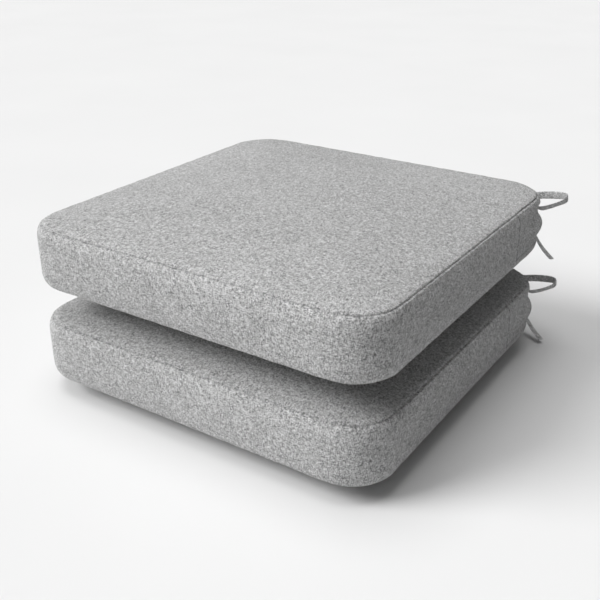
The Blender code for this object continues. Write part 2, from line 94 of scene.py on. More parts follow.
camera = bpy.data.objects.new("camera", bpy.data.cameras.new("camera"))
camera.data.lens = 52.874
camera.data.sensor_width = 36.0
camera.data.clip_end = 50.0
aim(camera, (0.5395, -0.8193, 0.5537), (-0.0009, -0.0006, 0.0839))
bpy.context.scene.collection.objects.link(camera)
bpy.context.scene.camera = camera
bpy.context.scene.view_settings.view_transform = "Standard"
print("camera", [round(c, 3) for c in camera.location])

# %% [markdown]
# ## A short way to write shader maths
# A material is a graph of nodes, and a long graph is easier to read as a formula. The class below wraps one
# output socket. Adding, multiplying or comparing two of them adds a Math node, so `1 - mask` works as it reads.
# One function makes any other node from its type, its settings and what goes into its sockets.

# %% Node helpers
class Value:
    """A number that varies over a surface: an output socket with arithmetic."""

    def __init__(self, tree, socket):
        self.tree = tree
        self.socket = socket

    def math(self, operation, *others):
        """A Math node whose first input is this value."""
        numbers = dict(enumerate((self, *others)))
        return node(self.tree, "ShaderNodeMath", {"operation": operation}, numbers)

    def __add__(self, other):
        return self.math("ADD", other)

    def __sub__(self, other):
        return self.math("SUBTRACT", other)

    def __mul__(self, other):
        return self.math("MULTIPLY", other)

    def __truediv__(self, other):
        return self.math("DIVIDE", other)

    def __rsub__(self, other):
        return self.math("MULTIPLY_ADD", -1.0, other)

    __radd__ = __add__
    __rmul__ = __mul__


def node(tree, kind, settings=(), inputs=(), output=0):
    """Make a node, set it up, fill its sockets with numbers or other values, and return one output."""
    made = tree.nodes.new(kind)
    for name, setting in dict(settings).items():
        if name == "stops":
            for element, (position, colour) in zip(made.color_ramp.elements, setting):
                element.position = position
                element.color = colour
        else:
            setattr(made, name, setting)
    for key, given in dict(inputs).items():
        if isinstance(given, Value):
            tree.links.new(given.socket, made.inputs[key])
        else:
            made.inputs[key].default_value = given
    return Value(tree, made.outputs[output])


def new_material(name, **constants):
    """A material with a Principled shader whose unvarying sockets are set directly."""
    material = bpy.data.materials.new(name)
    material.use_nodes = True
    shader = material.node_tree.nodes["Principled BSDF"]
    for socket, number in constants.items():
        shader.inputs[socket.replace("_", " ")].default_value = number
    return material, material.node_tree, shader


def parts_of(vector):
    """The x, y and z of a vector value."""
    tree = vector.tree
    return [node(tree, "ShaderNodeSeparateXYZ", {}, {0: vector}, axis) for axis in range(3)]


def point_from(tree, x, y, z=0.0):
    """A vector from three values."""
    return node(tree, "ShaderNodeCombineXYZ", {}, {0: x, 1: y, 2: z})


def noise(tree, vector, scale, detail=2.0, roughness=0.5):
    """Smooth noise from about 0.3 to 0.7."""
    sockets = {"Vector": vector, "Scale": scale, "Detail": detail, "Roughness": roughness}
    return node(tree, "ShaderNodeTexNoise", {"noise_dimensions": "3D"}, sockets)


def grey_between(tree, share, dark, light):
    """A grey from dark to light."""
    ends = {0: share, 6: (dark, dark, dark, 1.0), 7: (light, light, light, 1.0)}
    return node(tree, "ShaderNodeMix", {"data_type": "RGBA"}, ends, 2)


def bump_from(tree, height, strength, distance):
    """A normal tilted by a height in metres times distance."""
    return node(tree, "ShaderNodeBump", {}, {"Height": height, "Strength": strength, "Distance": distance})


def connect(tree, shader, **values):
    """Feed values into the shader's varying sockets."""
    for socket, given in values.items():
        tree.links.new(given.socket, shader.inputs[socket.replace("_", " ")])


print("node helpers ready")

# %% [markdown]
# ## The cloth
# The covers are a plain-woven linen look-alike: two sets of yarn cross at right angles, each yarn a little
# lighter or darker along its length, with thick places called slubs. The pattern is worked out in metres from
# a map that follows the cloth, called weave, so that on every panel the yarns run along its edges.
# At each crossing one of the two yarns is on top. Its shade is what shows, and it makes a small pillow. Painted shade
# makes the gaps between the yarns and the seams darker.

# %% Woven cloth
def yarn_shade(tree, across, along, slub):
    """Shade of one set of yarns: fibres of mixed greys along each yarn, with thick pale places."""
    number = across.math("FLOOR")
    streak = noise(tree, point_from(tree, number * 3.7, along / 5.0), 1.0, 2.0, 0.6)
    dash = (along / 2.4 + number * 0.37).math("FLOOR")
    fleck = node(tree, "ShaderNodeTexWhiteNoise", {"noise_dimensions": "2D"}, {0: point_from(tree, number, dash)})
    thick = noise(tree, point_from(tree, number * 5.3, along / 9.0, 7.0), 1.0, 1.0)
    return (streak - 0.5) * 1.7 + (fleck - 0.5) * 0.8 + (thick - 0.58).math("MAXIMUM", 0.0) * slub


def woven_cloth(name, pitch, dark, light, relief):
    """A plain weave of heathered yarns, from the weave map, with painted shade in its seams and between its yarns."""
    material, tree, shader = new_material(name, Roughness=0.92, Sheen_Weight=0.12, Sheen_Roughness=0.5)
    u, v, _ = parts_of(node(tree, "ShaderNodeUVMap", {"uv_map": "weave"}))
    wander = (noise(tree, point_from(tree, u, v), 90.0, 1.0) - 0.5) * 0.9
    wobble = [(noise(tree, point_from(tree, u, v, level), 650.0, 2.0) - 0.5) * 0.8 for level in (1.0, 2.0)]
    across, along = u / pitch + wander + wobble[0], v / pitch + wander + wobble[1]
    warp = yarn_shade(tree, across, along, 6.0)
    weft = yarn_shade(tree, along, across, 7.5)
    turn = (across.math("FLOOR") + along.math("FLOOR")).math("MODULO", 2.0).math("ABSOLUTE")
    shade = warp * turn + weft * (1.0 - turn)
    cloud = noise(tree, node(tree, "ShaderNodeTexCoord", {}, {}, 3), 16.0, 3.0, 0.6) - 0.5
    pillow = (across.math("FRACT") * math.pi).math("SINE") * (along.math("FRACT") * math.pi).math("SINE")
    # painted shade of the weave: the pillow makes each crossing lighter on its crown and darker towards the gaps
    # between yarns
    share = shade + 0.5 + cloud * 0.15 + (pillow - 0.4) * 0.5
    clamped = share.math("MAXIMUM", 0.0).math("MINIMUM", 1.0)
    # painted shade: the cloth is darkened in the bottoms of the seams and along the stitch lines, where little light
    # comes in
    seam_painted_shade = node(tree, "ShaderNodeAttribute", {"attribute_name": "seam_painted_shade"}, {}, 2)
    lit = 1.0 - seam_painted_shade * 0.38
    connect(tree, shader, Base_Color=grey_between(tree, clamped * lit, dark * 0.7, light))
    connect(tree, shader, Roughness=1.0 - clamped * 0.12)
    connect(tree, shader, Normal=bump_from(tree, pillow + shade * 0.5, relief, 0.0005))
    return material


COVER_CLOTH = woven_cloth("cover_cloth", 0.00082, 0.11, 0.82, 0.7)
TIE_CLOTH = woven_cloth("tie_cloth", 0.0008, 0.24, 0.80, 0.5)
print("woven cloth:", COVER_CLOTH.name, TIE_CLOTH.name)

# %% [markdown]
# ## Floor and light
# The pads lie on a plain pale floor. A large soft lamp high up on the left of the front lights their tops and
# fronts and leaves their right sides in soft shade, and the sky is a dim even grey.

# %% Floor, lamps and sky
def soft_sun(name, azimuth, elevation, spread, power):
    """A far lamp as wide as a big diffuser. Azimuth 0 is in front of the pads, and 90 on their right."""
    lamp = bpy.data.lights.new(name, "SUN")
    lamp.angle = math.radians(spread)
    lamp.energy = power
    item = bpy.data.objects.new(name, lamp)
    turn, lift = math.radians(azimuth), math.radians(elevation)
    place = Vector((math.sin(turn) * math.cos(lift), -math.cos(turn) * math.cos(lift), math.sin(lift)))
    aim(item, place * 3.0, (0.0, 0.0, 0.0))
    bpy.context.scene.collection.objects.link(item)


def pale_floor():
    """A wide floor with a very soft mottling."""
    builder = bmesh.new()
    bmesh.ops.create_grid(builder, x_segments=1, y_segments=1, size=40.0)
    mesh = bpy.data.meshes.new("floor")
    builder.to_mesh(mesh)
    builder.free()
    floor = bpy.data.objects.new("floor", mesh)
    bpy.context.scene.collection.objects.link(floor)
    material, tree, shader = new_material("floor_paint", Roughness=0.9)
    mottle = noise(tree, node(tree, "ShaderNodeTexCoord", {}, {}, 3), 3.0)
    connect(tree, shader, Base_Color=grey_between(tree, mottle, 0.75, 0.79))
    mesh.materials.append(material)
    return floor


def pale_backdrop():
    """A far round screen that only the camera sees, so that it neither lights nor shades the pads."""
    builder = bmesh.new()
    bmesh.ops.create_cone(builder, cap_ends=False, segments=64, radius1=12.0, radius2=12.0, depth=24.0)
    mesh = bpy.data.meshes.new("backdrop")
    builder.to_mesh(mesh)
    builder.free()
    screen = bpy.data.objects.new("backdrop", mesh)
    bpy.context.scene.collection.objects.link(screen)
    material, tree, shader = new_material("backdrop_paper", Roughness=1.0, Emission_Strength=1.0)
    shader.inputs["Base Color"].default_value = (0.0, 0.0, 0.0, 1.0)
    shader.inputs["Specular IOR Level"].default_value = 0.0
    mottle = noise(tree, node(tree, "ShaderNodeTexCoord", {}, {}, 3), 0.2)
    connect(tree, shader, Emission_Color=grey_between(tree, mottle, 0.88, 0.92))
    mesh.materials.append(material)
    screen.visible_diffuse = screen.visible_glossy = screen.visible_shadow = False
    screen.visible_transmission = screen.visible_volume_scatter = False


def black_flag():
    """A black card on the right, out of the camera's sight, that takes the floor's glow off that side."""
    builder = bmesh.new()
    bmesh.ops.create_grid(builder, x_segments=1, y_segments=1, size=0.5)
    bmesh.ops.rotate(builder, matrix=Matrix.Rotation(math.pi / 2, 3, "Y"), verts=builder.verts)
    bmesh.ops.scale(builder, vec=(1.0, 1.8, 0.36), verts=builder.verts)
    bmesh.ops.translate(builder, vec=(0.85, 0.0, 0.181), verts=builder.verts)
    mesh = bpy.data.meshes.new("flag")
    builder.to_mesh(mesh)
    builder.free()
    card = bpy.data.objects.new("flag", mesh)
    bpy.context.scene.collection.objects.link(card)
    material, tree, shader = new_material("flag_felt", Roughness=1.0)
    nap = noise(tree, node(tree, "ShaderNodeTexCoord", {}, {}, 3), 400.0)
    connect(tree, shader, Base_Color=grey_between(tree, nap, 0.01, 0.03))
    mesh.materials.append(material)
    card.visible_camera = card.visible_shadow = False


pale_floor()
pale_backdrop()
black_flag()
soft_sun("key", azimuth=-45.0, elevation=40.0, spread=30.0, power=2.65)
soft_sun("top", azimuth=-80.0, elevation=82.0, spread=40.0, power=1.42)
soft_sun("side", azimuth=95.0, elevation=74.0, spread=60.0, power=0.20)


def studio_sky():
    """A dim sky with a pale band low down, weaker on the pads' right, like the walls of a studio."""
    world = bpy.context.scene.world or bpy.data.worlds.new("sky")
    bpy.context.scene.world = world
    world.use_nodes = True
    tree = world.node_tree
    x, _, z = parts_of(node(tree, "ShaderNodeTexCoord", {}, {}, 0))
    low = (z.math("ABSOLUTE") * -5.0).math("EXPONENT")
    right = x.math("MAXIMUM", 0.0)
    level = (low * 0.50 + z.math("MAXIMUM", 0.0) * 0.12) * (1.0 - right * 0.95) + 0.03
    background = tree.nodes["Background"]
    background.inputs["Color"].default_value = (1.0, 1.0, 1.0, 1.0)
    tree.links.new(level.socket, background.inputs["Strength"])


studio_sky()
print("floor, backdrop, three lamps and a sky")

# %% [markdown]
# ## The ties
# A tie is a narrow strip of the cover's cloth, folded and stitched flat, about 10 mm wide. Each one is tied in
# a bow at a back corner, so it has a knot, two loops and two tails. A curve object could carry it, but its
# twist is hard to hold, so each strand is swept: a flattened ring is extruded from station to station along a
# smooth route, and at every station its width is turned as near as the bend allows to a chosen direction.
# A loop of a bow stands on its edge, and a tail leaves the knot flat.

# %% Routes of the right-hand ties, in millimetres: x, y, height above the bottom edge plane
OUTER_LOOP = (
    (189.6, 232.3, 55.0), (199.0, 236.0, 54.5), (211.0, 239.5, 56.5), (224.0, 240.5, 58.5), (236.0, 238.5, 60.5),
    (243.5, 232.5, 61.5), (243.0, 225.5, 59.0), (235.0, 220.5, 54.5), (224.0, 218.5, 49.0), (213.5, 220.5, 45.0),
    (202.0, 226.0, 48.0), (188.9, 228.6, 53.2),
)
INNER_LOOP = (
    (174.8, 234.3, 54.0), (166.0, 238.5, 56.0), (154.0, 241.5, 56.0), (142.0, 241.0, 53.0), (135.5, 237.8, 49.5),
    (140.0, 234.9, 48.5), (150.0, 234.3, 48.0), (162.0, 234.1, 49.5), (174.3, 231.9, 51.8),
)
OUTER_TAIL = (
    (186.8, 229.8, 45.9), (187.6, 232.8, 39.5), (191.0, 234.0, 31.0), (198.0, 233.0, 20.0), (206.5, 229.5, 9.0),
    (214.5, 225.0, 1.0), (223.0, 219.8, -5.5), (232.0, 214.7, -10.5), (240.5, 210.2, -14.6),
)
INNER_TAIL = (
    (176.4, 231.8, 45.9), (176.5, 235.5, 39.0), (176.0, 237.0, 30.0), (174.5, 238.5, 18.0), (173.0, 240.0, 6.0),
    (172.3, 241.0, -6.0), (172.0, 241.5, -16.5),
)
LEFT_DROOP = 0.0035                 # sag of the left outer loops, per millimetre of squared distance
TIE_WIDTH = 0.010
TIE_THICKNESS = 0.0015
STATION_STEP = 0.003
RING_SIDES = 12
print("four routes of", [len(r) for r in (OUTER_LOOP, INNER_LOOP, OUTER_TAIL, INNER_TAIL)], "points")

# %% A smooth line through a route
def between(a, b, c, d, share):
    """Point between b and c on the centripetal curve through four points."""
    times = [0.0]
    for p, q in ((a, b), (b, c), (c, d)):
        times.append(times[-1] + math.sqrt((q - p).length))
    at = times[1] + (times[2] - times[1]) * share

    def mix(p, q, first, last):
        return p + (q - p) * ((at - times[first]) / (times[last] - times[first]))

    ab, bc, cd = mix(a, b, 0, 1), mix(b, c, 1, 2), mix(c, d, 2, 3)
    return mix(mix(ab, bc, 0, 2), mix(bc, cd, 1, 3), 1, 2)


def stations_along(points):
    """Evenly spaced points on the smooth line through a route."""
    ends = [2 * points[0] - points[1]] + points + [2 * points[-1] - points[-2]]
    dense = [between(*four, step / 12) for four in zip(ends, ends[1:], ends[2:], ends[3:]) for step in range(12)]
    dense = np.array([*dense, points[-1]])
    run = np.concatenate([[0], np.cumsum(np.linalg.norm(np.diff(dense, axis=0), axis=1))])
    at = np.linspace(0, run[-1], round(run[-1] / STATION_STEP) + 1)
    return [Vector(p) for p in np.stack([np.interp(at, run, dense[:, k]) for k in range(3)], axis=1)], run[-1]


# %% Sweep a flattened ring into a strip
def add_piece(name, builder, material, body, smooth=True):
    """Make an object of a bmesh, in place, riding on a body."""
    bmesh.ops.recalc_face_normals(builder, faces=builder.faces)
    mesh = bpy.data.meshes.new(name)
    builder.to_mesh(mesh)
    builder.free()
    mesh.materials.append(material)
    if smooth:
        mesh.shade_smooth()
    piece = bpy.data.objects.new(name, mesh)
    bpy.context.scene.collection.objects.link(piece)
    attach(piece, body)
    return piece


def strip_frames(points, width_hint):
    """A matrix at each station: x along the strip's width, y through its thickness, z along it."""
    last = len(points) - 1
    frames = []
    for index, point in enumerate(points):
        along = (points[min(index + 1, last)] - points[max(index - 1, 0)]).normalized()
        hint = width_hint(index / last)
        across = (hint - hint.dot(along) * along).normalized()
        turn = Matrix((across, along.cross(across), along)).transposed().to_4x4()
        frames.append(Matrix.Translation(point) @ turn)
    return frames


def swept_strip(frames, width, thickness):
    """A strip with rounded edges, and its weave map running along it."""
    builder = bmesh.new()
    bmesh.ops.create_circle(builder, cap_ends=True, segments=RING_SIDES, radius=0.5)
    bmesh.ops.scale(builder, vec=(width, thickness, 1.0), verts=builder.verts)
    places = {vert: (0.0, vert.co.x) for vert in builder.verts}
    bmesh.ops.transform(builder, matrix=frames[0], verts=builder.verts)
    edge_ring = builder.edges[:]
    run = 0.0
    for first, second in zip(frames, frames[1:]):
        run += (second.translation - first.translation).length
        grown = bmesh.ops.extrude_edge_only(builder, edges=edge_ring)["geom"]
        verts = [g for g in grown if isinstance(g, bmesh.types.BMVert)]
        edge_ring = [g for g in grown if isinstance(g, bmesh.types.BMEdge)]
        move = second @ first.inverted()
        bmesh.ops.transform(builder, matrix=move, verts=verts)
        back = second.inverted()
        places.update({vert: (run, (back @ vert.co).x) for vert in verts})
    bmesh.ops.contextual_create(builder, geom=edge_ring)
    weave = builder.loops.layers.uv.new("weave")
    for face in builder.faces:
        for loop in face.loops:
            loop[weave].uv = places[loop.vert]
    return builder


def smoothed(piece, levels=1):
    """Round a piece off with a subdivision surface."""
    modifier = piece.modifiers.new("round", "SUBSURF")
    modifier.levels = modifier.render_levels = levels
    return piece


print("sweep ready, stations every", STATION_STEP)

# %% [markdown]
# ## Tie every bow
# Each strand starts at the knot, so the knot's place is its exit. A loop comes back to the knot, and a tail ends in
# its own end, which on the real tie is slanted and hemmed and here is closed flat. The length of each strand is
# printed.

# %% Strands
def loop_width(share):
    return Vector((0.0, 0.0, 1.0)).lerp(Vector((0.0, -0.70, 0.72)), min(1.0, max(0.0, share * 4 - 1.3)))


def outer_tail_width(share):
    return Vector((1.0, -0.2, 0.0)).lerp(Vector((-0.25, 0.95, 0.1)), min(1.0, share * 2.5))


def inner_tail_width(_share):
    return Vector((1.0, 0.0, 0.0))


def knot_middle(pad, side):
    """Middle of a knot, from its node's box."""
    low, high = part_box(f"{pad}_{side}_tie_knot")
    return (low + high) / 2


STRANDS = (
    ("outer_loop", OUTER_LOOP, loop_width), ("inner_loop", INNER_LOOP, loop_width),
    ("outer_tail", OUTER_TAIL, outer_tail_width), ("inner_tail", INNER_TAIL, inner_tail_width),
)


def strand_points(route, pad, side, droop):
    """A route in metres, for one pad and side."""
    sign = 1 if side == "right" else -1
    knot = knot_middle(pad, side) / MM
    edge_plane = BASE[pad] + CROWN
    placed = []
    for x, y, z in route:
        sag = droop * ((sign * x - knot.x) ** 2 + (y - knot.y) ** 2)
        placed.append(Vector((sign * x * MM, y * MM, edge_plane + (z - sag) * MM)))
    return placed


def tie_strand(pad, side, name, route, width_hint):
    """One strand of a bow; it returns the strand's length."""
    sign = 1 if side == "right" else -1
    droop = LEFT_DROOP if (side, name) == ("left", "outer_loop") else 0.0
    points, length = stations_along(strand_points(route, pad, side, droop))

    def hint(share):
        chosen = width_hint(share)
        return Vector((sign * chosen.x, chosen.y, chosen.z))

    builder = swept_strip(strip_frames(points, hint), TIE_WIDTH, TIE_THICKNESS)
    node_name = f"{pad}_{side}_tie_{name}"
    strand = add_piece(f"cloth_{node_name}", builder, TIE_CLOTH, f"{pad}_pad")
    smoothed(strand)
    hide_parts(node_name)
    return length


for pad in PADS:
    for side in ("right", "left"):
        lengths = [tie_strand(pad, side, *strand) for strand in STRANDS]
        print(pad, side, "strands, mm:", [round(length / MM) for length in lengths])

# %% [markdown]
# ## The knots
# A tight knot of tape is a small lump crossed by the turn that holds it. It starts as a sphere pressed to the
# knot's size. The middle turn is pushed out as a band, and the tape's turns are creased in beside it.

# %% Knots
def knot_piece(pad, side):
    """One knot: a flattened ball with a raised turn of tape round its middle."""
    node_name = f"{pad}_{side}_tie_knot"
    sign = 1 if side == "right" else -1
    builder = bmesh.new()
    bmesh.ops.create_uvsphere(builder, u_segments=36, v_segments=20, radius=1.0)
    for vert in builder.verts:
        lean = vert.co.x + 0.35 * vert.co.z
        turn = math.exp(-((lean / 0.42) ** 4))
        crease = 0.16 * math.exp(-(((abs(lean) - 0.5) / 0.09) ** 2))
        folds = 0.05 * math.sin(9.0 * vert.co.z + 3.0 * vert.co.x) * (1 - turn)
        vert.co *= 0.86 + 0.14 * turn - crease + folds
    bmesh.ops.scale(builder, vec=(0.0070, 0.0042, 0.0065), verts=builder.verts)
    weave = builder.loops.layers.uv.new("weave")
    for face in builder.faces:
        for loop in face.loops:
            loop[weave].uv = (loop.vert.co.x + loop.vert.co.y, loop.vert.co.z)
    place = Matrix.Translation(knot_middle(pad, side)) @ Matrix.Rotation(math.radians(-12.0 * sign), 4, "Z")
    bmesh.ops.transform(builder, matrix=place, verts=builder.verts)
    knot = add_piece(f"cloth_{node_name}", builder, TIE_CLOTH, f"{pad}_pad")
    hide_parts(node_name)
    return knot


for pad in PADS:
    for side in ("right", "left"):
        print("knot", knot_piece(pad, side).name)

# %% [markdown]
# ## The form of a pad
# Inside the cover is a foam block that is a little too big for it, so the cover is drawn tight along its seams
# and swells between them. A box with rounded corners gives the edges. Its faces are then crowned: highest in
# the middle, falling to nothing at the edge. A face that rests on something is pressed flat in its middle.

# %% Block with rounded corners and edges
def rounded_block():
    """A block of the pad's plan and edge height, its middle at the origin."""
    builder = bmesh.new()
    bmesh.ops.create_grid(builder, x_segments=1, y_segments=1, size=1.0)
    bmesh.ops.scale(builder, vec=(HALF_WIDTH, HALF_DEPTH, 1.0), verts=builder.verts)
    for end, radius in CORNER_RADIUS.items():
        corners = [v for v in builder.verts if end * v.co.y > HALF_DEPTH - MM and abs(v.co.x) > HALF_WIDTH - MM]
        bmesh.ops.bevel(
            builder, geom=corners, offset=radius, offset_type="OFFSET", segments=12, profile=0.5,
            affect="VERTICES", material=-1,
        )
    grown = bmesh.ops.extrude_face_region(builder, geom=builder.faces[:])["geom"]
    top = [g for g in grown if isinstance(g, bmesh.types.BMVert)]
    bmesh.ops.translate(builder, vec=(0.0, 0.0, EDGE_HEIGHT), verts=top)
    rims = [e for e in builder.edges if abs(e.verts[0].co.z - e.verts[1].co.z) < MM]
    bmesh.ops.bevel(
        builder, geom=rims, offset=EDGE_ROUNDING, offset_type="OFFSET", segments=6, profile=0.5,
        affect="EDGES", material=-1,
    )
    bmesh.ops.translate(builder, vec=(0.0, 0.0, -EDGE_HEIGHT / 2), verts=builder.verts)
    bmesh.ops.recalc_face_normals(builder, faces=builder.faces)
    return builder


def coordinates(mesh, what="co"):
    """Vertex places or normals of a mesh as an array."""
    found = np.zeros(len(mesh.vertices) * 3, np.float32)
    mesh.vertices.foreach_get(what, found)
    return found.reshape(-1, 3).astype(float)


def put_back(mesh, places):
    """Write vertex places into a mesh."""
    mesh.vertices.foreach_set("co", places.astype(np.float32).ravel())
    mesh.update()


def baked(piece):
    """Apply a piece's modifiers."""
    graph = bpy.context.evaluated_depsgraph_get()
    mesh = bpy.data.meshes.new_from_object(piece.evaluated_get(graph))
    piece.modifiers.clear()
    old, piece.data = piece.data, mesh
    bpy.data.meshes.remove(old)
    return piece


VOXEL = 0.005


def even_mesh(name):
    """The block remeshed into even squares, ready for cloth."""
    builder = rounded_block()
    mesh = bpy.data.meshes.new(name)
    builder.to_mesh(mesh)
    builder.free()
    piece = bpy.data.objects.new(name, mesh)
    bpy.context.scene.collection.objects.link(piece)
    remesh = piece.modifiers.new("even", "REMESH")
    remesh.mode = "VOXEL"
    remesh.voxel_size = VOXEL
    return baked(piece)


# %% Crown the faces
CROWN_INSET = EDGE_ROUNDING * (1 - math.cos(math.radians(78.0)))
START_CROWN = 0.72                          # share of the crown that is there before the cover swells
RESTING_CROWN = 0.88                        # the same for a face that ends up pressed flat


def face_reach(places):
    """0 in the middle of a face, 1 along its edge."""
    x = np.abs(places[:, 0]) / (HALF_WIDTH - CROWN_INSET)
    y = np.abs(places[:, 1]) / (HALF_DEPTH - CROWN_INSET)
    return np.minimum(1.0, (x ** 9 + y ** 9) ** (1 / 9))


def crowned(places, share):
    """The block's points with both faces swollen by a share of the crown."""
    reach = face_reach(places)
    on_face = np.clip((np.abs(places[:, 2]) - EDGE_HEIGHT / 2 + EDGE_ROUNDING) / EDGE_ROUNDING, 0, 1)
    rise = (1 - reach ** CROWN_POWER) / (1 - REST_SCALE ** CROWN_POWER)
    moved = places.copy()
    moved[:, 2] += np.sign(places[:, 2]) * CROWN * share * rise * on_face
    return moved


print("crown starts at", round(START_CROWN * CROWN, 4))

# %% [markdown]
# ## Let the cover swell
# Blender's cloth gives the cover its own tension. The points along the sewn edges and the zip are pinned, the
# inside presses outwards, and after twenty frames the cover has swelled between its seams. How far a point
# may go is capped, less on the walls than on the faces, and the result is applied to the mesh.

# %% Swell
SEAM_Z = EDGE_HEIGHT / 2 - SEAM_DROP
FACE_CAP = 0.0065
WALL_CAP = 0.0016
FRAMES = 20


def smooth_step(value, low, high):
    """0 below low, 1 above high, and a smooth turn between."""
    share = np.clip((value - low) / (high - low), 0, 1)
    return share * share * (3 - 2 * share)


def swollen(piece, start):
    """The points of a cover after its cloth has swelled, capped."""
    pinned = piece.vertex_groups.new(name="sewn")
    sewn = (np.abs(np.abs(start[:, 2]) - SEAM_Z) < 0.6 * VOXEL) & (face_reach(start) > 0.9)
    pinned.add([int(i) for i in np.flatnonzero(sewn)], 1.0, "REPLACE")
    cloth = piece.modifiers.new("swell", "CLOTH")
    cloth.settings.quality = 6
    cloth.settings.mass = 0.3
    cloth.settings.tension_stiffness = cloth.settings.compression_stiffness = 30.0
    cloth.settings.shear_stiffness = 12.0
    cloth.settings.bending_stiffness = 1.0
    cloth.settings.use_pressure = True
    cloth.settings.uniform_pressure_force = 4.0
    cloth.settings.effector_weights.gravity = 0.0
    cloth.settings.vertex_group_mass = pinned.name
    cloth.collision_settings.use_collision = False
    cloth.point_cache.frame_start, cloth.point_cache.frame_end = 1, FRAMES
    for number in range(1, FRAMES + 1):
        bpy.context.scene.frame_set(number)
    baked(piece)
    bpy.context.scene.frame_set(1)
    return coordinates(piece.data)


def capped(moved, start):
    """Moves from start, none longer than its cap, and none at the zip's walls."""
    move = moved - start
    far = np.linalg.norm(move, axis=1, keepdims=True) + 1e-9
    on_face = smooth_step(np.abs(start[:, 2]), SEAM_Z - 0.004, SEAM_Z + 0.004)
    free_wall = 1 - smooth_step(start[:, 1], SIDE_SEAM_Y - 0.030, SIDE_SEAM_Y)
    cap = (FACE_CAP * on_face + WALL_CAP * free_wall * (1 - on_face))[:, None] + 1e-6
    return start + move / far * cap * np.tanh(far / cap)


def pad_form(pad):
    """The even, crowned, swollen mesh of one pad, its middle at the origin."""
    piece = even_mesh(f"{pad}_cover")
    flat = coordinates(piece.data)
    share = np.where((flat[:, 2] < 0) | (pad == "lower"), RESTING_CROWN, START_CROWN)
    start = crowned(flat, share)
    put_back(piece.data, start)
    moved = capped(swollen(piece, start), start)
    put_back(piece.data, moved)
    piece.vertex_groups.clear()
    detail = piece.modifiers.new("fine", "SUBSURF")
    detail.levels = detail.render_levels = 1
    return baked(piece)


forms = {pad: pad_form(pad) for pad in PADS}
for pad, form in forms.items():
    tall = coordinates(form.data)[:, 2]
    print(pad, "form:", len(form.data.vertices), "points, from", round(tall.min(), 4), "to", round(tall.max(), 4))

# %% [markdown]
# ## Seams
# Where two panels are sewn together the cloth turns in, so a seam is a narrow groove with a soft ridge on the boxing's
# side, which catches the light. The mesh is too coarse to hold that, so planes cut it along the seam and on both sides
# of it. The new points are then pushed in or out, and the groove is marked for painted shade in the cloth's colour.

# %% Cut the seams
SEAM_CUTS = (-0.0030, -0.0016, -0.0006, 0.0, 0.0006, 0.0016, 0.0030)
GROOVE = 0.0009
RIDGE = 0.00025


def cut(builder, faces, place, direction):
    """Cut some faces along a plane."""
    around = {part for face in faces for part in (face, *face.edges, *face.verts)}
    bmesh.ops.bisect_plane(builder, geom=list(around), dist=1e-6, plane_co=place, plane_no=direction)


def is_wall(face):
    """Whether a face lies between the two panel seams."""
    return abs(face.calc_center_median().z) < SEAM_Z


def cut_seams(mesh):
    """Cut a pad's form along its panel seams and its two upright seams."""
    builder = bmesh.new()
    builder.from_mesh(mesh)
    for facing in (-1, 1):
        for step in SEAM_CUTS:
            height = facing * (SEAM_Z + step)
            near = [f for f in builder.faces if abs(f.calc_center_median().z - height) < VOXEL]
            cut(builder, near, (0, 0, height), (0, 0, 1))
    for step in SEAM_CUTS:
        y = SIDE_SEAM_Y + step
        near = [f for f in builder.faces if is_wall(f) and abs(f.calc_center_median().y - y) < VOXEL]
        cut(builder, near, (0, y, 0), (0, 1, 0))
    builder.to_mesh(mesh)
    builder.free()


def bell(value, width):
    """1 at zero, falling to nothing over a width."""
    return np.exp(-((value / width) ** 2))


def seam_depth(places):
    """How far a point of the cover moves along its normal because of the seams."""
    height, y = np.abs(places[:, 2]), places[:, 1]
    rim = face_reach(places) > 0.9
    panel = bell(height - SEAM_Z, 0.0005) * -GROOVE + bell(height - SEAM_Z + 0.0014, 0.0007) * RIDGE
    wall = (height < SEAM_Z) * smooth_step(SEAM_Z - height, 0.0, 0.004)
    upright = bell(y - SIDE_SEAM_Y, 0.0005) * -GROOVE + bell(np.abs(y - SIDE_SEAM_Y) - 0.0017, 0.0008) * RIDGE
    return panel * rim + upright * wall


def seam_shade(places):
    """1 in the bottom of a seam, where little light comes, and 0 away from it."""
    height, y = np.abs(places[:, 2]), places[:, 1]
    panel = bell(height - SEAM_Z, 0.0007) * (face_reach(places) > 0.9)
    upright = bell(y - SIDE_SEAM_Y, 0.0008) * (height < SEAM_Z)
    return np.maximum(panel, 1.7 * upright)


def mark(mesh, name, numbers):
    """Write one number for every point of a mesh, for its material to read."""
    attribute = mesh.attributes.get(name) or mesh.attributes.new(name, "FLOAT", "POINT")
    attribute.data.foreach_set("value", numbers.astype(np.float32))


def puckers(places):
    """Small pulls along the panel seams, from the thread's tension."""
    run = np.arctan2(places[:, 1], places[:, 0]) * HALF_WIDTH
    wave = np.sin(run / 0.0052) * 0.6 + np.sin(run / 0.0031 + 1.3) * 0.4
    near = bell(np.abs(places[:, 2]) - SEAM_Z, 0.006) * (face_reach(places) > 0.9)
    return 0.00022 * wave * near


def rest_flat(places, pad):
    """Press a pad flat where it rests: its bottom always, and its top under the other pad."""
    limit = PAD_HEIGHT / 2
    moved = places.copy()
    ease = 0.0012
    low = -limit + ease * np.log1p(np.exp((moved[:, 2] + limit) / ease))
    moved[:, 2] = np.where(moved[:, 2] < 0, low, moved[:, 2])
    if pad == "lower":
        high = limit - ease * np.log1p(np.exp((limit - moved[:, 2]) / ease))
        moved[:, 2] = np.where(moved[:, 2] > 0, high, moved[:, 2])
    return moved


